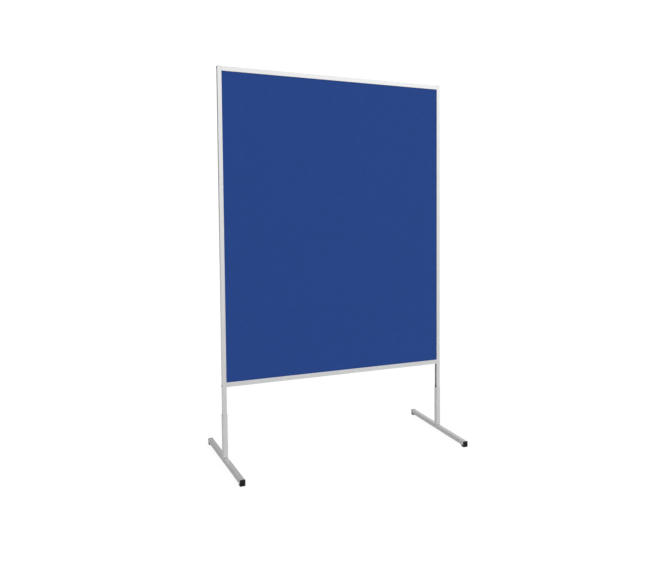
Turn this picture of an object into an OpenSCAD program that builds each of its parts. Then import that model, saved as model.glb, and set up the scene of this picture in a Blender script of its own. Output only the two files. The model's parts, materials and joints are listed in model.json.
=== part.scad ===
// Free-standing two-sided pin board. A felt-covered panel sits in a slim aluminium frame, whose side
// posts run down as legs and plug into two T-shaped feet.
// Origin: on the floor, midway between the feet. +X is to the right, -Y to the front, +Z up.

/* [Board] */
// Width of the board over its two posts
board_w = 1200; // [900:10:1500]
// Height of the board, from the underside of its lower rail to its top
board_h = 1500; // [1000:10:1800]
// Height of the lower rail's underside above the floor
board_z = 367; // [300:1:600]
// Thickness of the panel's core
core_t = 11; // [8:0.5:11]
// Thickness of each felt sheet
felt_t = 2; // [1:0.5:2]

/* [Frame] */
// Width and depth of the post profile
post_w = 20; // [20:0.5:22]
// Height of the rail profile
rail_h = 22; // [20:0.5:26]
// Wall thickness of the profiles
profile_wall = 1.6; // [1.2:0.1:1.8]
// Depth of the groove that holds the panel
groove_d = 12; // [8:0.5:12]
// Radius of the profiles' outer edges
profile_r = 1.2; // [0.5:0.1:1.5]

/* [Feet] */
// Length of a foot over its end caps
foot_l = 562; // [450:2:700]
// Height of the foot tube
foot_h = 21; // [18:0.5:30]
// Wall thickness of the foot tube
foot_wall = 1.5; // [1:0.1:2]
// Height of the glides that carry the foot tube
glide_h = 7; // [4:0.5:12]
// Length of a glide under the tube
glide_l = 18; // [12:1:40]
// Height of the sleeve's mouth above the floor
sleeve_z = 236; // [150:1:280]
// Wall thickness of the sleeve
sleeve_wall = 1; // [1:0.1:2]
// Play between the post and the sleeve on each side
sleeve_play = 0.6; // [0.6:0.05:0.8]
// How far each foot is turned in its play, front end inwards, in degrees
foot_toe = 2.8; // [0:0.1:3.5]

/* [Fasteners] */
// Diameter of the frame screws
frame_screw_d = 3.5; // [3:0.5:4]
// Diameter of the screws that lock the posts in the sleeves
lock_screw_d = 6; // [5:1:6]
// Height of the locking screws above the floor
lock_z = 190; // [100:1:200]

/* [Hidden] */
$fn = 48;

LEFT = -1;
RIGHT = 1;
FRONT = -1;
BACK = 1;
TOP = 1;
BOTTOM = -1;

eps = 1;              // overshoot of a cutter past the face that it opens
seat = 0.2;           // gap between pieces that are pushed together
silver = [0.80, 0.81, 0.82];
grey_steel = [0.72, 0.73, 0.74];
felt_blue = [0.10, 0.20, 0.45];

board_top = board_z + board_h;
inner_w = post_w - 2 * profile_wall;               // clear depth inside the profiles
panel_t = core_t + 2 * felt_t;
mouth_w = panel_t + 0.6;                           // opening between the groove's two lips
lip_w = 2;                                         // how far each thickened lip runs into the groove
post_chamber = post_w - groove_d;                  // closed part of the post profile
rail_chamber = rail_h - groove_d;                  // closed part of the rail profile
panel_gap = 1;                                     // room between the panel's edge and the groove's floor
panel_w = board_w - 2 * (post_chamber + panel_gap);
panel_h = board_h - 2 * (rail_chamber + panel_gap);
rail_l = board_w - 2 * post_w;

cap_t = 1.5;                                       // flange of a post's top cap
plug_t = 2;                                        // flange of a post's bottom plug
prong_l = 14;                                      // length of what a cap or plug pushes into a post
prong_w = 4.5;                                     // width of each of the top cap's two prongs
tube_top = glide_h + foot_h;                       // top face of the foot tube
post_bottom = tube_top + seat + plug_t;
post_l = board_top - cap_t - post_bottom;
post_axis = board_w / 2 - post_w / 2;              // distance of a post's centre from the origin

tongue_l = 40;                                     // length of a connector inside its rail
screw_l = 26;                                      // length of a frame screw under its head
screw_head_d = 7;
screw_head_h = 2.6;
screw_play = 0.05;                                 // gap between a screw and its thread

sleeve_in = post_w + 2 * sleeve_play;
sleeve_w = sleeve_in + 2 * sleeve_wall;
sleeve_r = 2.2;
foot_w = sleeve_w;                                 // the foot tube is as wide as the sleeve
foot_r = 2;
end_t = 3;                                         // thickness of an end cap's face
end_lip = 0.8;                                     // how far that face stands proud of the tube
tube_l = foot_l - 2 * end_t;
end_plug_l = 22;                                   // length of an end cap's ribs inside the tube
rib_t = 1.6;                                       // thickness of those ribs
weld_r = 3.2;
weld_l = sleeve_w - 2 * sleeve_r;
nut_flats = 10;
nut_h = 5;
lock_screw_l = 8.5;
lock_key = 3;                                      // width across the flats of the locking screw's socket
lock_key_depth = 3;

// Rectangle with true round corners, centred on the origin
module rounded_rect(w, d, r) {
    square([w, d - 2 * r], center = true);
    square([w - 2 * r, d], center = true);
    for (x = [-1, 1], y = [-1, 1])
        translate([x * (w / 2 - r), y * (d / 2 - r)]) circle(r);
}

// Cross-section of a frame profile. Its closed chamber starts at x = 0, its groove opens at x = w.
module frame_profile(w, chamber) {
    difference() {
        translate([w / 2, 0]) rounded_rect(w, post_w, profile_r);
        translate([profile_wall, -inner_w / 2]) square([chamber - 2 * profile_wall, inner_w]);
        translate([chamber, -inner_w / 2]) square([w - chamber - lip_w, inner_w]);
        translate([w - lip_w - eps, -mouth_w / 2]) square([lip_w + 2 * eps, mouth_w]);
    }
}

// Places a child that is drawn for the left side, with its outer face at x = 0
module on_side(side) {
    if (side == LEFT) translate([-board_w / 2, 0, 0]) children();
    else translate([board_w / 2, 0, 0]) mirror([1, 0, 0]) children();
}

// Height of the middle of a rail's chamber
function rail_axis_z(level) = level == TOP ? board_top - rail_chamber / 2 : board_z + rail_chamber / 2;

module post(side) {
    color(silver) on_side(side) difference() {
        translate([0, 0, post_bottom]) linear_extrude(post_l) frame_profile(post_w, post_chamber);
        for (level = [BOTTOM, TOP])
            translate([-eps, 0, rail_axis_z(level)]) rotate([0, 90, 0])
                cylinder(h = post_chamber + 2 * eps, d = frame_screw_d + 0.4);
    }
}

// A rail lies along X between the posts, with its groove towards the panel
module rail(level) {
    z = level == TOP ? board_top : board_z;
    color(silver) translate([-rail_l / 2, 0, z]) mirror([0, 0, level == TOP ? 0 : 1])
        rotate([0, 90, 0]) linear_extrude(rail_l) frame_profile(rail_h, rail_chamber);
}

// Corner block that fills the post's groove behind a rail and reaches into the rail's chamber
module connector(side, level) {
    block_w = mouth_w - 2 * seat;
    block_h = rail_chamber - 2 * seat - (level == TOP ? cap_t : 0);
    block_shift = level == TOP ? -cap_t / 2 : 0;
    block_l = groove_d - 2 * seat;
    tongue_h = rail_chamber - 2 * profile_wall - 2 * seat;
    color("dimgray") on_side(side) translate([post_chamber + seat, 0, rail_axis_z(level)]) difference() {
        union() {
            translate([0, -block_w / 2, block_shift - block_h / 2]) cube([block_l, block_w, block_h]);
            translate([0, -block_w / 2, -tongue_h / 2]) cube([groove_d + tongue_l, block_w, tongue_h]);
        }
        translate([-eps, 0, 0]) rotate([0, 90, 0])
            cylinder(h = screw_l - post_chamber + 2 * eps, d = frame_screw_d + 2 * screw_play);
    }
}

// Pan-head screw with a cross recess. Its head sits at z < 0 and its shank runs along +Z.
module pan_screw() {
    crown_r = 1.6;
    slot_w = 1;
    slot_l = 4;
    slot_depth = 1.5;
    head_r = screw_head_d / 2;
    difference() {
        union() {
            cylinder(h = screw_l, d = frame_screw_d);
            rotate_extrude() {
                translate([0, -screw_head_h]) square([head_r - crown_r, screw_head_h]);
                translate([0, crown_r - screw_head_h]) square([head_r, screw_head_h - crown_r]);
                intersection() {
                    translate([head_r - crown_r, crown_r - screw_head_h]) circle(crown_r);
                    translate([0, -screw_head_h]) square([head_r, screw_head_h]);
                }
            }
        }
        for (turn = [0, 90]) rotate([0, 0, turn])
            translate([-slot_l / 2, -slot_w / 2, -screw_head_h - eps])
                cube([slot_l, slot_w, slot_depth + eps]);
    }
}

module frame_screws() {
    color("#303234") for (side = [LEFT, RIGHT], level = [BOTTOM, TOP])
        on_side(side) translate([0, 0, rail_axis_z(level)]) rotate([0, 90, 0]) pan_screw();
}

// Flange of a cap or plug, over the whole end of a post
module post_flange(thickness) {
    translate([post_w / 2, 0, 0]) linear_extrude(thickness) rounded_rect(post_w, post_w, profile_r);
}

// Top cap with two prongs, which pass the frame screw on either side
module post_cap(side) {
    chamber = post_chamber - 2 * profile_wall;
    prong_y = inner_w / 2 - seat - prong_w;
    color("#b9bbbd") on_side(side) translate([0, 0, board_top - cap_t]) {
        post_flange(cap_t);
        for (y = [prong_y, -prong_y - prong_w])
            translate([profile_wall + seat, y, -prong_l]) cube([chamber - 2 * seat, prong_w, prong_l]);
    }
}

// Bottom plug, which fills the chamber and the groove and rests on the foot tube
module post_plug(side) {
    chamber = post_chamber - 2 * profile_wall;
    tongue_w = mouth_w - 2 * seat;
    color("#202224") on_side(side) translate([0, 0, post_bottom - plug_t]) {
        post_flange(plug_t);
        translate([profile_wall + seat, -inner_w / 2 + seat, plug_t])
            cube([chamber - 2 * seat, inner_w - 2 * seat, prong_l]);
        translate([post_chamber + seat, -tongue_w / 2, plug_t])
            cube([groove_d - 2 * seat, tongue_w, prong_l]);
    }
}

// Flat sheet of the panel's size, centred on the given depth
module panel_sheet(y, thickness) {
    translate([-panel_w / 2, y - thickness / 2, board_z + rail_chamber + panel_gap])
        cube([panel_w, thickness, panel_h]);
}

module panel_core() {
    color("burlywood") panel_sheet(0, core_t);
}

module felt(face) {
    color(felt_blue) panel_sheet(face * (core_t + felt_t) / 2, felt_t);
}

// Rounded rectangular tube along Z, centred on the axis
module tube(w, d, wall, r, length) {
    linear_extrude(length) difference() {
        rounded_rect(w, d, r);
        rounded_rect(w - 2 * wall, d - 2 * wall, max(r - wall, 0.4));
    }
}

// Places a child that is drawn around a post's axis, and turns it with its foot
module at_post(side) {
    translate([side * post_axis, 0, 0]) rotate([0, 0, -side * foot_toe]) children();
}

module foot_tube(side) {
    color(grey_steel) at_post(side) translate([0, tube_l / 2, glide_h + foot_h / 2]) rotate([90, 0, 0])
        tube(foot_w, foot_h, foot_wall, foot_r, tube_l);
}

module sleeve(side) {
    color(grey_steel) at_post(side) difference() {
        translate([0, 0, tube_top]) tube(sleeve_w, sleeve_w, sleeve_wall, sleeve_r, sleeve_z - tube_top);
        translate([0, sleeve_w / 2 - sleeve_wall - eps, lock_z]) rotate([-90, 0, 0])
            cylinder(h = sleeve_wall + 2 * eps, d = lock_screw_d + 0.4);
    }
}

// One quarter-round weld bead on each side of the sleeve's foot
module welds(side) {
    color("#8f9193") at_post(side) for (face = [FRONT, BACK])
        intersection() {
            translate([-weld_l / 2, face * sleeve_w / 2, tube_top]) rotate([0, 90, 0])
                cylinder(h = weld_l, r = weld_r);
            translate([-weld_l / 2, face == BACK ? sleeve_w / 2 : -sleeve_w / 2 - weld_r, tube_top])
                cube([weld_l, weld_r, weld_r]);
        }
}

// End cap: a face plate, a ribbed plug in the tube, and a glide under the tube
module end_cap(side, face) {
    plug_w = foot_w - 2 * foot_wall - 2 * seat;
    plug_h = foot_h - 2 * foot_wall - 2 * seat;
    toe = 2.5;
    color("#141517") at_post(side) mirror([0, face == FRONT ? 1 : 0, 0]) {
        translate([0, tube_l / 2, (tube_top + end_lip) / 2]) rotate([-90, 0, 0])
            linear_extrude(end_t) rounded_rect(foot_w + 2 * end_lip, tube_top + end_lip, foot_r);
        translate([-foot_w / 2, 0, 0]) rotate([90, 0, 90]) linear_extrude(foot_w)
            polygon([[tube_l / 2 + eps, 0], [tube_l / 2 + eps, glide_h], [tube_l / 2 - glide_l, glide_h],
                     [tube_l / 2 - glide_l, toe], [tube_l / 2 - glide_l + toe, 0]]);
        for (x = [-plug_w / 2, -rib_t / 2, plug_w / 2 - rib_t])
            translate([x, tube_l / 2 - end_plug_l, glide_h + foot_h / 2 - plug_h / 2])
                cube([rib_t, end_plug_l + eps, plug_h]);
        for (z = [-plug_h / 2, -rib_t / 2, plug_h / 2 - rib_t])
            translate([-plug_w / 2, tube_l / 2 - end_plug_l, glide_h + foot_h / 2 + z])
                cube([plug_w, end_plug_l + eps, rib_t]);
    }
}

// Hexagon nut that is welded over the hole in the back of the sleeve
module lock_nut(side) {
    color("#8f9193") at_post(side) translate([0, sleeve_w / 2, lock_z]) rotate([-90, 0, 0]) difference() {
        cylinder(h = nut_h, d = nut_flats / cos(30), $fn = 6);
        translate([0, 0, -eps]) cylinder(h = nut_h + 2 * eps, d = lock_screw_d + 2 * screw_play);
    }
}

// Socket set screw, whose tip stands just clear of the post
module lock_screw(side) {
    color("#303234") at_post(side) translate([0, post_w / 2 + 2 * seat, lock_z]) rotate([-90, 0, 0])
        difference() {
            cylinder(h = lock_screw_l, d = lock_screw_d);
            translate([0, 0, lock_screw_l - lock_key_depth])
                cylinder(h = lock_key_depth + eps, d = lock_key / cos(30), $fn = 6);
        }
}

post(LEFT);  // left_post
post(RIGHT);  // right_post
rail(TOP);  // top_rail
rail(BOTTOM);  // bottom_rail
connector(LEFT, TOP);  // top_left_connector
connector(RIGHT, TOP);  // top_right_connector
connector(LEFT, BOTTOM);  // bottom_left_connector
connector(RIGHT, BOTTOM);  // bottom_right_connector
frame_screws();
post_cap(LEFT);  // left_post_cap
post_cap(RIGHT);  // right_post_cap
post_plug(LEFT);  // left_post_plug
post_plug(RIGHT);  // right_post_plug
panel_core();
felt(FRONT);  // front_felt
felt(BACK);  // back_felt
foot_tube(LEFT);  // left_foot_tube
sleeve(LEFT);  // left_sleeve
welds(LEFT);  // left_welds
end_cap(LEFT, FRONT);  // left_front_cap
end_cap(LEFT, BACK);  // left_back_cap
lock_nut(LEFT);  // left_lock_nut
lock_screw(LEFT);  // left_lock_screw
foot_tube(RIGHT);  // right_foot_tube
sleeve(RIGHT);  // right_sleeve
welds(RIGHT);  // right_welds
end_cap(RIGHT, FRONT);  // right_front_cap
end_cap(RIGHT, BACK);  // right_back_cap
lock_nut(RIGHT);  // right_lock_nut
lock_screw(RIGHT);  // right_lock_screw
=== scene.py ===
"""Looks of the free-standing moderation board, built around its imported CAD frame.

Metres, +X to the right, -Y out of the front face, +Z up. Every object sits at the origin with its place in
its mesh, so object coordinates are the part's own and each finish stays on its piece at every pose.
"""

import json
import math
import random

import bmesh
import bpy
from mathutils import Matrix, Vector, noise


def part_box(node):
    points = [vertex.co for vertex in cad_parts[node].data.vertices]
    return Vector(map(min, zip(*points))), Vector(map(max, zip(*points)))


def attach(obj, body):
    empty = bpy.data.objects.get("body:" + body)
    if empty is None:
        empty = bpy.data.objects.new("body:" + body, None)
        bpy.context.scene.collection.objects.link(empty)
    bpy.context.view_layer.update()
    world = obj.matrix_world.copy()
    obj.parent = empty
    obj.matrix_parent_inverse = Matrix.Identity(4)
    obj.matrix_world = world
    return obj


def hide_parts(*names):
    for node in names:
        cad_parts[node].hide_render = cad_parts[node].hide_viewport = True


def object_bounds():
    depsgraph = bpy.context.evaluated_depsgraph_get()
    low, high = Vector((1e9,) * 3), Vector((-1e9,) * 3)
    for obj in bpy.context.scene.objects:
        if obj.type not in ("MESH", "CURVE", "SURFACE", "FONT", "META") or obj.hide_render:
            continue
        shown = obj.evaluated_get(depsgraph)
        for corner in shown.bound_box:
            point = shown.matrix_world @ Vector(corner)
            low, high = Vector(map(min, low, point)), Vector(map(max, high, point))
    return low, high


MM = 0.001

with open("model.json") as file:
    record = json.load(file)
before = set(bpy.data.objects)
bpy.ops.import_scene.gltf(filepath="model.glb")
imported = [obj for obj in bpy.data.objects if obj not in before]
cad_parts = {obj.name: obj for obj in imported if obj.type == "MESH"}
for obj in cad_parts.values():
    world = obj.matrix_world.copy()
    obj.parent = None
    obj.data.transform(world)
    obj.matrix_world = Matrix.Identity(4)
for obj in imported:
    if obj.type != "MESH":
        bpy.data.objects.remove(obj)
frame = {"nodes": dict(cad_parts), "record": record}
nodes = frame["nodes"]
scene = bpy.context.scene
cad_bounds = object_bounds()


# ---------------------------------------------------------------- camera

IMAGE_W = 647               # pixels
FOCAL_PX = 595.4
CAMERA_PLACE = (-1.1910, -2.7632, 1.1374)
CAMERA_YAW = 0.38349        # radians, to the right of +Y
CAMERA_PITCH = 0.04655      # downwards
CAMERA_ROLL = -0.00861
SHIFT_PX = -40              # keeps the posts nearly upright
SENSOR_W = 36.0             # millimetres
CLIP_NEAR, CLIP_FAR = 0.05, 200


def make_camera():
    data = bpy.data.cameras.new("camera")
    camera = bpy.data.objects.new("camera", data)
    scene.collection.objects.link(camera)
    data.sensor_width = SENSOR_W
    data.lens = SENSOR_W * FOCAL_PX / IMAGE_W
    data.shift_y = SHIFT_PX / IMAGE_W
    data.clip_start, data.clip_end = CLIP_NEAR, CLIP_FAR
    forward = Vector((math.sin(CAMERA_YAW) * math.cos(CAMERA_PITCH),
                      math.cos(CAMERA_YAW) * math.cos(CAMERA_PITCH),
                      -math.sin(CAMERA_PITCH)))
    level_right = Vector((math.cos(CAMERA_YAW), -math.sin(CAMERA_YAW), 0))
    level_up = level_right.cross(forward)
    right = level_right * math.cos(CAMERA_ROLL) + level_up * math.sin(CAMERA_ROLL)
    up = level_up * math.cos(CAMERA_ROLL) - level_right * math.sin(CAMERA_ROLL)
    turn = Matrix((right, up, -forward)).transposed()
    camera.matrix_world = Matrix.Translation(CAMERA_PLACE) @ turn.to_4x4()
    scene.camera = camera


# ---------------------------------------------------------------- shader building

class Finish:
    """One material and its node tree. Textures read object coordinates, in metres."""

    def __init__(self, name):
        self.material = bpy.data.materials.new(name)
        self.material.use_nodes = True
        self.tree = self.material.node_tree
        self.bsdf = self.tree.nodes["Principled BSDF"]
        self.place = self.tree.nodes.new("ShaderNodeTexCoord").outputs["Object"]

    def node(self, kind, inputs=(), **settings):
        """A new node. inputs maps a socket's name or index to a value or to another node's output."""
        made = self.tree.nodes.new(kind)
        for key, value in settings.items():
            setattr(made, key, value)
        for key, value in dict(inputs).items():
            self.feed(made.inputs[key], value)
        return made

    def feed(self, socket, value):
        if isinstance(value, bpy.types.NodeSocket):
            self.tree.links.new(value, socket)
        else:
            socket.default_value = value

    def stretched(self, scale, turn=(0, 0, 0)):
        """Object coordinates turned first and scaled after, for grain that runs one way."""
        turned = self.node("ShaderNodeMapping", {"Vector": self.place, "Rotation": turn}).outputs[0]
        return self.node("ShaderNodeMapping", {"Vector": turned, "Scale": scale}).outputs[0]

    def noise(self, scale, detail=2.0, roughness=0.5, vector=None, distortion=0.0):
        made = self.node("ShaderNodeTexNoise", {
            "Vector": vector or self.place, "Scale": scale, "Detail": detail,
            "Roughness": roughness, "Distortion": distortion})
        return made.outputs["Fac"]

    def cells(self, scale, output="Distance"):
        made = self.node("ShaderNodeTexVoronoi", {"Vector": self.place, "Scale": scale})
        return made.outputs[output]

    def remap(self, value, low, high, to_low=0.0, to_high=1.0):
        """A value taken from low..high to to_low..to_high, and held at its ends."""
        made = self.node("ShaderNodeMapRange", {
            "Value": value, "From Min": low, "From Max": high, "To Min": to_low, "To Max": to_high})
        return made.outputs["Result"]

    def math(self, operation, a, b=0.0):
        return self.node("ShaderNodeMath", {0: a, 1: b}, operation=operation).outputs[0]

    def mix(self, factor, a, b):
        """Colour mix of a and b. Both may be linked outputs or (r, g, b)."""
        made = self.node("ShaderNodeMix", data_type="RGBA")
        self.feed(made.inputs[0], factor)
        self.feed(made.inputs[6], a if isinstance(a, bpy.types.NodeSocket) else (*a, 1))
        self.feed(made.inputs[7], b if isinstance(b, bpy.types.NodeSocket) else (*b, 1))
        return made.outputs[2]

    def bump(self, height, depth, strength=1.0, under=None):
        """Bump of that depth in metres, on top of another bump if there is one."""
        made = self.node("ShaderNodeBump", {"Height": height, "Distance": depth, "Strength": strength})
        if under is not None:
            self.tree.links.new(under, made.inputs["Normal"])
        return made.outputs[0]

    def set(self, **sockets):
        """Feeds the shader's own sockets. An underscore stands for the space in a socket's name."""
        for name, value in sockets.items():
            self.feed(self.bsdf.inputs[name.replace("_", " ")], value)

    def height_above_floor(self):
        return self.node("ShaderNodeSeparateXYZ", {0: self.place}).outputs["Z"]


def shade(colour, factor):
    return tuple(min(1.0, c * factor) for c in colour)


def neutral(colour):
    """The grey of the same level as a colour."""
    return (sum(colour) / 3,) * 3


# ---------------------------------------------------------------- finishes
# Noise and cell scales are in features per metre, fibre sizes and bump depths in metres.

def slot_colour(slot):
    return tuple(next(m for m in frame["record"]["materials"] if m["slot"] == slot)["base_color"][:3])


def anodised_aluminium(name, along):
    """Satin anodised extrusion with fine draw lines along one axis ("X" or "Z")."""
    f = Finish(name)
    base = shade(neutral(slot_colour("frame_aluminium")), 0.97)
    lines_across, lines_along = 5200, 9
    lines_per_band = 6
    if along == "X":
        line_scale = (lines_along, lines_across, lines_across)
    else:
        line_scale = (lines_across, lines_across, lines_along)
    band_scale = tuple(s / lines_per_band for s in line_scale)
    lines = f.noise(1, 3, 0.6, f.stretched(line_scale))
    bands = f.noise(1, 2, 0.5, f.stretched(band_scale))
    cloud = f.noise(9, 3, 0.55)
    smudge = f.remap(f.noise(22, 4, 0.6, distortion=0.6), 0.56, 0.74)
    tone = f.mix(f.remap(bands, 0.3, 0.7), shade(base, 0.955), shade(base, 1.03))
    tone = f.mix(f.remap(cloud, 0.35, 0.7, 0, 0.35), tone, shade(base, 0.93))
    tone = f.mix(f.remap(lines, 0.62, 0.8, 0, 0.30), tone, shade(base, 0.80))
    rough = f.math("ADD", f.remap(bands, 0.3, 0.7, 0.36, 0.44), f.math("MULTIPLY", smudge, 0.07))
    fine = f.bump(lines, 0.012 * MM, 0.55)
    f.set(Base_Color=tone, Metallic=0.9, Roughness=rough, Normal=f.bump(bands, 0.02 * MM, 0.35, fine))
    return f.material


def silver_powder_coat(name, level):
    """Silver-grey powder coat on steel: orange peel, fine flakes, rubbed spots near the floor."""
    f = Finish(name)
    base = shade(neutral(slot_colour("silver_coating")), level)
    peel = f.noise(1100, 2, 0.45)
    ripple = f.noise(260, 2, 0.5)
    flakes = f.node("ShaderNodeTexWhiteNoise", {"Vector": f.cells(7000, "Position")},
                    noise_dimensions="3D").outputs["Value"]
    cloud = f.noise(14, 3, 0.6)
    tone = f.mix(f.remap(flakes, 0, 1), shade(base, 0.92), shade(base, 1.08))
    tone = f.mix(f.remap(cloud, 0.35, 0.7, 0, 0.5), tone, shade(base, 0.94))
    unscuffed_z, scuffed_z = 14 * MM, 7 * MM
    near_floor = f.remap(f.height_above_floor(), unscuffed_z, scuffed_z)
    scuff = f.math("MULTIPLY", near_floor, f.remap(f.noise(180, 5, 0.7), 0.52, 0.66))
    tone = f.mix(f.math("MULTIPLY", scuff, 0.45), tone, shade(base, 0.6))
    rough = f.math("ADD", f.remap(ripple, 0.3, 0.7, 0.40, 0.50), f.math("MULTIPLY", scuff, 0.15))
    fine = f.bump(peel, 0.03 * MM, 0.5)
    f.set(Base_Color=tone, Metallic=0.55, Roughness=rough, Normal=f.bump(ripple, 0.05 * MM, 0.4, fine))
    return f.material


# Layers of fibres: direction on the face in degrees, and spacing and length in millimetres.
FELT_FIBRES = ((8, 0.9, 8), (52, 0.75, 6.5), (97, 1.0, 9), (141, 0.8, 7))
FIBRE_WIDTH = 0.035         # as a share of the noise's range


def felt_fibres(f, degrees, spacing, length):
    """Thin curving fibres that lie near one direction on the face, as a mask from 0 to 1."""
    vector = f.stretched((1 / length, 120, 1 / spacing), (0, math.radians(degrees), 0))
    field = f.noise(1, 1.5, 0.5, vector, distortion=0.5)
    from_ridge = f.math("ABSOLUTE", f.math("SUBTRACT", field, 0.5))
    return f.remap(from_ridge, 0.0, FIBRE_WIDTH, 1.0, 0.0)


def blue_felt():
    """Needle felt: fibres matted in every direction, tufts, soft mottling and a faint sheen."""
    f = Finish("blue_felt")
    red, green, blue = slot_colour("blue_felt")
    base = (red * 0.97, green * 1.04, blue * 1.13)
    layers = [felt_fibres(f, degrees, spacing * MM, length * MM)
              for degrees, spacing, length in FELT_FIBRES]
    matted = f.math("MAXIMUM", f.math("MAXIMUM", layers[0], layers[1]),
                    f.math("MAXIMUM", layers[2], layers[3]))
    tufts = f.noise(520, 4, 0.7, distortion=0.5)
    mottle = f.noise(34, 4, 0.6)
    broad = f.noise(3.2, 2, 0.5)
    tone = f.mix(f.remap(tufts, 0.3, 0.72), shade(base, 0.68), shade(base, 1.20))
    tone = f.mix(f.math("MULTIPLY", matted, 0.42), tone, shade(base, 1.6))
    tone = f.mix(f.remap(mottle, 0.32, 0.68, 0, 0.4), tone, shade(base, 0.88))
    tone = f.mix(f.remap(broad, 0.3, 0.7, 0, 0.12), tone, shade(base, 0.90))
    rough = f.remap(tufts, 0.3, 0.7, 0.88, 0.98)
    depth = f.bump(tufts, 0.20 * MM, 0.7, f.bump(matted, 0.06 * MM, 0.7))
    f.set(Base_Color=tone, Roughness=rough, Normal=f.bump(mottle, 0.10 * MM, 0.5, depth),
          Specular_IOR_Level=0.10, Sheen_Weight=0.10, Sheen_Roughness=0.55)
    f.bsdf.inputs["Sheen Tint"].default_value = (0.45, 0.58, 1.0, 1)
    return f.material


def moulded_plastic(slot, level=1.0, scuffed=False):
    """Injection-moulded plastic with spark-eroded grain, and scuffs where it stands on the floor."""
    f = Finish(slot)
    base = shade(slot_colour(slot), level)
    grain = f.noise(2400, 3, 0.6)
    pebble = f.cells(1500)
    flow = f.noise(60, 3, 0.55, distortion=0.8)
    tone = f.mix(f.remap(flow, 0.3, 0.7), shade(base, 0.88), shade(base, 1.14))
    rough = f.remap(flow, 0.3, 0.7, 0.40, 0.54)
    if scuffed:
        unscuffed_z, scuffed_z = 4.5 * MM, 0.3 * MM
        near_floor = f.remap(f.height_above_floor(), unscuffed_z, scuffed_z)
        scuff = f.math("MULTIPLY", near_floor, f.remap(f.noise(420, 5, 0.7), 0.46, 0.62))
        tone = f.mix(f.math("MULTIPLY", scuff, 0.5), tone, tuple(c + 0.09 for c in base))
        rough = f.math("ADD", rough, f.math("MULTIPLY", scuff, 0.25))
    f.set(Base_Color=tone, Roughness=rough, Specular_IOR_Level=0.24,
          Normal=f.bump(pebble, 0.018 * MM, 0.35, f.bump(grain, 0.03 * MM, 0.5)))
    return f.material


def black_zinc():
    """Black zinc-plated steel, rubbed bright where a driver turns."""
    f = Finish("dark_screw")
    base = slot_colour("dark_screw")
    cloud = f.noise(900, 4, 0.6)
    bare_steel = (0.22, 0.21, 0.20)
    rub = f.remap(f.noise(2600, 4, 0.7), 0.56, 0.68, 0, 0.5)
    tone = f.mix(f.remap(cloud, 0.3, 0.7), shade(base, 0.8), shade(base, 1.35))
    tone = f.mix(rub, tone, bare_steel)
    f.set(Base_Color=tone, Metallic=0.85, Roughness=f.remap(cloud, 0.3, 0.7, 0.30, 0.46),
          Normal=f.bump(cloud, 0.02 * MM, 0.4))
    return f.material


def soft_fibreboard():
    """Raw soft fibreboard: short pale fibres pressed flat."""
    f = Finish("soft_fibreboard")
    base = slot_colour("soft_fibreboard")
    fibre = f.noise(1, 4, 0.6, f.stretched((260, 900, 1500)))
    chips = f.cells(420, "Color")
    tone = f.mix(f.remap(fibre, 0.35, 0.7), shade(base, 0.75), shade(base, 1.2))
    tone = f.mix(0.12, tone, chips)
    f.set(Base_Color=tone, Roughness=f.remap(fibre, 0.3, 0.7, 0.85, 0.97),
          Normal=f.bump(fibre, 0.3 * MM, 0.7))
    return f.material


# ---------------------------------------------------------------- pieces in mesh code

MERGE_DISTANCE = 0.001 * MM


def add_piece(name, mesh_maker, material, body, smooth=True):
    """Builds a mesh with bmesh in the part's own frame, and makes it ride on a CAD body."""
    bm = bmesh.new()
    mesh_maker(bm)
    bmesh.ops.remove_doubles(bm, verts=bm.verts, dist=MERGE_DISTANCE)
    bmesh.ops.recalc_face_normals(bm, faces=bm.faces)
    for face in bm.faces:
        face.smooth = smooth
    mesh = bpy.data.meshes.new(name)
    bm.to_mesh(mesh)
    bm.free()
    mesh.materials.append(material)
    piece = bpy.data.objects.new(name, mesh)
    scene.collection.objects.link(piece)
    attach(piece, body)
    return piece


def shell_from_grid(bm, grid):
    """Quads between neighbouring points of a grid of vertices."""
    for row, above in zip(grid, grid[1:]):
        for i in range(len(row) - 1):
            bm.faces.new((row[i], row[i + 1], above[i + 1], above[i]))


FELT_PITCH = 9 * MM         # of the face's grid
FELT_SWELL = 0.22 * MM      # depth of the hollows in the pile
FELT_EDGE = 1.2 * MM        # radius of the cut edges
HOLLOWS, BROAD_HOLLOWS = 14, 3.1          # hollows per metre, of two sizes


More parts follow.
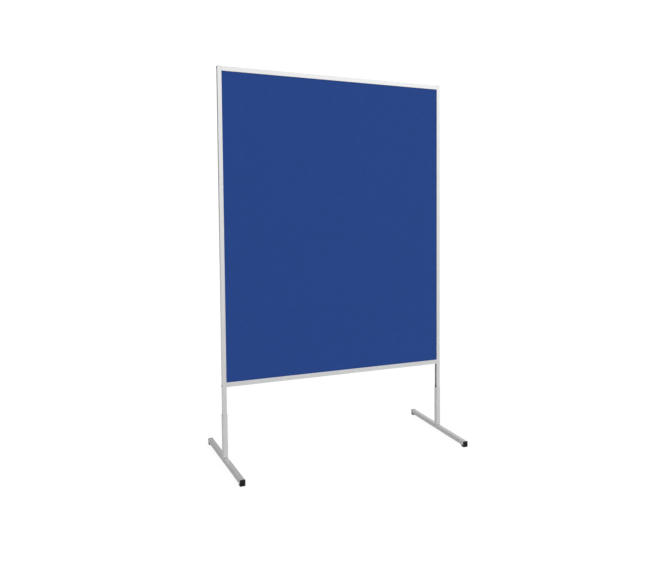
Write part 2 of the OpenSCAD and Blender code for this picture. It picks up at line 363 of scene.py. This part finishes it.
def felt_sheet(node, outward):
    """A sheet glued to the core, closed all round: an uneven pile and rounded cut edges.

    outward is -1 or 1, the way its face looks along Y. Gives the mesh maker and the flat size.
    """
    low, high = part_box(node)
    glued_y, pile_y = (high.y, low.y) if outward < 0 else (low.y, high.y)
    across = max(2, round((high.x - low.x) / FELT_PITCH))
    up = max(2, round((high.z - low.z) / FELT_PITCH))
    edge = FELT_EDGE

    def stations(start, end, count):
        """Even steps, with closer ones over the rounded edges."""
        inner = [start + edge + (end - start - 2 * edge) * i / count for i in range(count + 1)]
        return [start, start + edge * 0.3, *inner, end - edge * 0.3, end]

    xs, zs = stations(low.x, high.x, across), stations(low.z, high.z, up)

    def make(bm):
        front, back = [], []
        for z in zs:
            front_row, back_row = [], []
            for x in xs:
                rim = min(x - low.x, high.x - x, z - low.z, high.z - z)
                rounding = edge * (1 - math.sqrt(max(0.0, 1 - (1 - min(rim / edge, 1)) ** 2)))
                spot = Vector((x * HOLLOWS, outward * 5, z * HOLLOWS))
                broad = Vector((x * BROAD_HOLLOWS, outward * 9, z * BROAD_HOLLOWS))
                dip = FELT_SWELL * (0.5 + 0.3 * noise.noise(spot) + 0.2 * noise.noise(broad))
                front_row.append(bm.verts.new((x, pile_y - outward * (dip + rounding), z)))
                back_row.append(bm.verts.new((x, glued_y, z)))
            front.append(front_row)
            back.append(back_row)
        shell_from_grid(bm, front)
        shell_from_grid(bm, back)
        rims = ((front[0], back[0]), (front[-1], back[-1]),
                ([r[0] for r in front], [r[0] for r in back]),
                ([r[-1] for r in front], [r[-1] for r in back]))
        for near, far in rims:
            for i in range(len(near) - 1):
                bm.faces.new((near[i], near[i + 1], far[i + 1], far[i]))

    return make, (high.x - low.x, high.z - low.z)


def dress_felt(node, outward, material):
    make, flat = felt_sheet(node, outward)
    cloth = add_piece(node + "_cloth", make, material, "board")
    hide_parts(node)


BEAD_RIPPLE = 1.5 * MM      # length of one ripple
BEAD_STEPS = 90             # rings along a bead
BEAD_SIDES = 10             # faces round its quarter of a circle
BEAD_ENDS = 9               # an end tapers over one part in this many
BEAD_UNEVENNESS = 400       # per metre
FRONT_SEED, BACK_SEED = 3, 8


def weld_bead(bm, start, end, wall_y, outward, base_z, radius, seed):
    """One bead from start to end along X, in the corner of a wall and a floor, in overlapping ripples."""
    drift = random.Random(seed).uniform(0, 10)
    rings = []
    for i in range(BEAD_STEPS + 1):
        t = i / BEAD_STEPS
        x = start + (end - start) * t
        wave = (x / BEAD_RIPPLE) % 1.0
        taper = math.sqrt(max(0.0, min(1.0, min(t, 1 - t) * BEAD_ENDS + 0.05)))
        uneven = noise.noise(Vector((x * BEAD_UNEVENNESS, drift, 0)))
        size = radius * taper * (0.86 + 0.10 * math.sqrt(wave) + 0.05 * uneven)
        ring = [bm.verts.new((x, wall_y, base_z))]
        for j in range(BEAD_SIDES + 1):
            angle = math.pi / 2 * j / BEAD_SIDES
            flat = 1 - 0.16 * math.sin(2 * angle)
            ring.append(bm.verts.new((x, wall_y + outward * size * flat * math.cos(angle),
                                      base_z + size * flat * math.sin(angle))))
        rings.append(ring)
    count = len(rings[0])
    for a, b in zip(rings, rings[1:]):
        for j in range(count):
            bm.faces.new((a[j], a[(j + 1) % count], b[(j + 1) % count], b[j]))
    bm.faces.new(rings[0])
    bm.faces.new(rings[-1])


def foot_axis(side):
    """A foot's upright axis, at floor height, and how far it is turned about it, from its tube's two ends."""
    front, back = Vector(), Vector()
    for vertex in nodes[side + "_foot_tube"].data.vertices:
        end = back if vertex.co.y > 0 else front
        end += vertex.co
    low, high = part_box(side + "_foot_tube")
    along = front - back
    return Vector(((low.x + high.x) / 2, (low.y + high.y) / 2, 0)), math.atan2(along.x, -along.y)


def squared_box(side, part):
    """The box of a foot's CAD node as it would be with the foot turned back square."""
    axis, turn = foot_axis(side)
    back = Matrix.Rotation(-turn, 3, "Z")
    points = [back @ (vertex.co - axis) + axis for vertex in nodes[side + "_" + part].data.vertices]
    return tuple(Vector(pick(p[i] for p in points) for i in range(3)) for pick in (min, max))


def turn_with_foot(bm, side):
    axis, turn = foot_axis(side)
    bmesh.ops.rotate(bm, verts=bm.verts, cent=axis, matrix=Matrix.Rotation(turn, 3, "Z"))


def dress_welds(side, material):
    """The two beads that hold a sleeve on its foot tube."""
    sleeve_low, sleeve_high = squared_box(side, "sleeve")
    low, high = squared_box(side, "welds")

    def make(bm):
        radius = high.z - low.z
        weld_bead(bm, low.x, high.x, sleeve_low.y, -1, low.z, radius, FRONT_SEED)
        weld_bead(bm, low.x, high.x, sleeve_high.y, 1, low.z, radius, BACK_SEED)
        turn_with_foot(bm, side)

    beads = add_piece(side + "_weld_beads", make, material, side + "_foot")
    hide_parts(side + "_welds")


# M6 set screw with a 3 mm key
THREAD_PITCH = 1.0 * MM
THREAD_DEPTH = 0.54 * THREAD_PITCH
POINTS_PER_TURN = 24
ROWS_PER_PITCH = 8
SCREW_CHAMFER = 0.8 * MM
SOCKET_HALF_KEY = 1.5 * MM
SOCKET_DEPTH = 3 * MM


def threaded_set_screw(bm, centre_x, centre_z, tip_y, end_y, radius):
    """Set screw along Y: a coarse metric thread, a flat tip and a hexagon socket in its outer end."""
    length = end_y - tip_y
    rows = round(length / THREAD_PITCH * ROWS_PER_PITCH)
    socket_r = SOCKET_HALF_KEY / math.cos(math.pi / 6)

    def point(angle, r, y):
        return bm.verts.new((centre_x + r * math.cos(angle), y, centre_z + r * math.sin(angle)))

    def ring(r_of, y):
        return [point(2 * math.pi * k / POINTS_PER_TURN, r_of(k), y) for k in range(POINTS_PER_TURN)]

    def bridge(a, b):
        for k in range(POINTS_PER_TURN):
            after = (k + 1) % POINTS_PER_TURN
            bm.faces.new((a[k], a[after], b[after], b[k]))

    rings = []
    for i in range(rows + 1):
        y = tip_y + length * i / rows
        end_gap = min(y - tip_y, end_y - y)
        limit = radius - max(0.0, SCREW_CHAMFER - end_gap)

        def thread(k, y=y, limit=limit):
            phase = ((y - tip_y) / THREAD_PITCH + k / POINTS_PER_TURN) % 1.0
            return min(limit, radius - THREAD_DEPTH * (1 - abs(2 * phase - 1)))

        rings.append(ring(thread, y))
    for a, b in zip(rings, rings[1:]):
        bridge(a, b)
    bm.faces.new(rings[0])

    def hexagon(k):
        turn = (2 * math.pi * k / POINTS_PER_TURN) % (math.pi / 3) - math.pi / 6
        return socket_r * math.cos(math.pi / 6) / math.cos(turn)

    mouth = ring(hexagon, end_y)
    floor = ring(hexagon, end_y - SOCKET_DEPTH)
    bridge(rings[-1], mouth)
    bridge(mouth, floor)
    bm.faces.new(floor)


def dress_lock_screw(side, material):
    low, high = squared_box(side, "lock_screw")
    centre = (low + high) / 2

    def make(bm):
        threaded_set_screw(bm, centre.x, centre.z, low.y, high.y, (high.x - low.x) / 2)
        turn_with_foot(bm, side)

    screw = add_piece(side + "_set_screw", make, material, side + "_foot", smooth=False)
    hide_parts(side + "_lock_screw")


def soften(node, width, segments=2):
    """Rounds a CAD node's sharp edges in its look, and keeps the shading of its flat faces level."""
    thing = nodes[node]
    weld = thing.modifiers.new("weld", "WELD")
    weld.merge_threshold = 2 * MERGE_DISTANCE
    bevel = thing.modifiers.new("soften", "BEVEL")
    bevel.width = width
    bevel.segments = segments
    bevel.limit_method = "ANGLE"
    bevel.angle_limit = math.radians(35)
    level = thing.modifiers.new("level", "WEIGHTED_NORMAL")
    level.mode = "FACE_AREA"
    level.weight = 100


# ---------------------------------------------------------------- stage and light

WHITE = (1.0, 1.0, 1.0)
BACKDROP_LEVEL = 1.08
FLOOR_TONE = 0.94
NEAR_WHITENESS = 0.84                       # of the floor beside the object, as the camera sees it
FADE_START, FADE_END = 1.0, 3.5             # distances over which the floor fades into the backdrop
BRIGHT_SIDE = (0.70, -0.71, 0.02)           # the room is brightest this way
ROOM_LOW, ROOM_HIGH = 0.26, 1.20            # the room's light at its darkest and its brightest side
FLOOR_RADIUS = 60
SOFTBOX_SIZE = (3.0, 2.6)
KEY_FROM_MIDDLE, KEY_WATTS = (2.4, -3.0, 3.1), 9
BACK_FROM_MIDDLE, BACK_WATTS = (2.2, 3.2, 3.0), 20


def make_floor():
    """A wide pale disc. It lights the object as white board would, and looks as white as the backdrop."""
    bm = bmesh.new()
    bmesh.ops.create_circle(bm, cap_ends=True, segments=96, radius=FLOOR_RADIUS)
    mesh = bpy.data.meshes.new("floor")
    bm.to_mesh(mesh)
    bm.free()
    floor = bpy.data.objects.new("floor", mesh)
    scene.collection.objects.link(floor)
    f = Finish("floor")
    f.set(Base_Color=(FLOOR_TONE, FLOOR_TONE, FLOOR_TONE, 1), Roughness=0.9, Specular_IOR_Level=0.1)
    glow = f.node("ShaderNodeEmission", {"Color": (*WHITE, 1), "Strength": BACKDROP_LEVEL})
    reach = f.node("ShaderNodeVectorMath", {0: f.place}, operation="LENGTH").outputs["Value"]
    whiteness = f.remap(reach, FADE_START, FADE_END, NEAR_WHITENESS, 1.0)
    seen = f.node("ShaderNodeLightPath").outputs["Is Camera Ray"]
    blend = f.node("ShaderNodeMixShader", {0: f.math("MULTIPLY", whiteness, seen)})
    f.tree.links.new(f.bsdf.outputs[0], blend.inputs[1])
    f.tree.links.new(glow.outputs[0], blend.inputs[2])
    f.tree.links.new(blend.outputs[0], f.tree.nodes["Material Output"].inputs["Surface"])
    mesh.materials.append(f.material)


def make_world():
    """A white room. The camera sees it plain, and it lights the object more from the front right."""
    world = bpy.data.worlds.new("studio")
    scene.world = world
    world.use_nodes = True
    tree = world.node_tree
    tree.nodes.clear()

    def add(kind, **settings):
        made = tree.nodes.new(kind)
        for key, value in settings.items():
            setattr(made, key, value)
        return made

    direction = add("ShaderNodeTexCoord").outputs["Generated"]
    toward = add("ShaderNodeVectorMath", operation="DOT_PRODUCT")
    tree.links.new(direction, toward.inputs[0])
    toward.inputs[1].default_value = Vector(BRIGHT_SIDE).normalized()
    level = add("ShaderNodeMapRange", interpolation_type="SMOOTHSTEP")
    tree.links.new(toward.outputs["Value"], level.inputs["Value"])
    for name, value in (("From Min", -0.9), ("From Max", 1.0), ("To Min", ROOM_LOW), ("To Max", ROOM_HIGH)):
        level.inputs[name].default_value = value
    lit = add("ShaderNodeBackground")
    tree.links.new(level.outputs["Result"], lit.inputs["Strength"])
    seen = add("ShaderNodeBackground")
    seen.inputs["Strength"].default_value = BACKDROP_LEVEL
    for shader in (lit, seen):
        shader.inputs["Color"].default_value = (*WHITE, 1)
    pick = add("ShaderNodeMixShader")
    tree.links.new(add("ShaderNodeLightPath").outputs["Is Camera Ray"], pick.inputs[0])
    tree.links.new(lit.outputs[0], pick.inputs[1])
    tree.links.new(seen.outputs[0], pick.inputs[2])
    tree.links.new(pick.outputs[0], add("ShaderNodeOutputWorld").inputs["Surface"])


def add_softbox(name, from_middle, watts):
    """A soft area light that looks at the object's middle."""
    low, high = cad_bounds
    middle = (low + high) / 2
    place = middle + Vector(from_middle)
    data = bpy.data.lights.new(name, "AREA")
    data.shape = "RECTANGLE"
    data.size, data.size_y = SOFTBOX_SIZE
    data.energy = watts
    light = bpy.data.objects.new(name, data)
    scene.collection.objects.link(light)
    light.location = place
    light.rotation_mode = "QUATERNION"
    light.rotation_quaternion = (middle - place).to_track_quat("-Z", "Y")


# ---------------------------------------------------------------- putting it together

make_camera()
scene.view_settings.view_transform = "Standard"
make_world()
add_softbox("key", KEY_FROM_MIDDLE, KEY_WATTS)
add_softbox("back", BACK_FROM_MIDDLE, BACK_WATTS)
make_floor()

finishes = {
    "frame_aluminium": anodised_aluminium("frame_aluminium", "Z"),
    "silver_coating": silver_powder_coat("silver_coating", 1.13),
    "blue_felt": blue_felt(),
    "soft_fibreboard": soft_fibreboard(),
    "black_plastic": moulded_plastic("black_plastic", level=0.5, scuffed=True),
    "grey_plastic": moulded_plastic("grey_plastic"),
    "connector_plastic": moulded_plastic("connector_plastic"),
    "dark_screw": black_zinc(),
}
rail_aluminium = anodised_aluminium("rail_aluminium", "X")
# The weld beads get the silver powder coat darkened to 0.72 of its level. This is painted shade for the
# shadow in the crease where the sleeve meets the foot tube; the coat on the beads is the same colour as on
# the tubes.
weld_coat_painted_shade = silver_powder_coat("weld_coat_painted_shade", 0.72)
for subpart in frame["record"]["subparts"]:
    node, slot = subpart["node"], subpart["material_slot"]
    thing = nodes[node]
    thing.data.materials.clear()
    thing.data.materials.append(rail_aluminium if node.endswith("_rail") else finishes[slot])

# Edge radii in millimetres
EDGE_RADII = {"post": 0.25, "sleeve": 0.3, "foot_tube": 0.3, "post_cap": 0.4, "lock_nut": 0.35}
END_CAP_RADIUS, RAIL_RADIUS = 0.7, 0.2
for side in ("left", "right"):
    for part, radius in EDGE_RADII.items():
        soften(side + "_" + part, radius * MM)
    for end in ("front", "back"):
        soften(f"{side}_{end}_cap", END_CAP_RADIUS * MM, segments=3)
    dress_welds(side, weld_coat_painted_shade)
    dress_lock_screw(side, finishes["dark_screw"])
for rail in ("top_rail", "bottom_rail"):
    soften(rail, RAIL_RADIUS * MM)
dress_felt("front_felt", -1, finishes["blue_felt"])
dress_felt("back_felt", 1, finishes["blue_felt"])
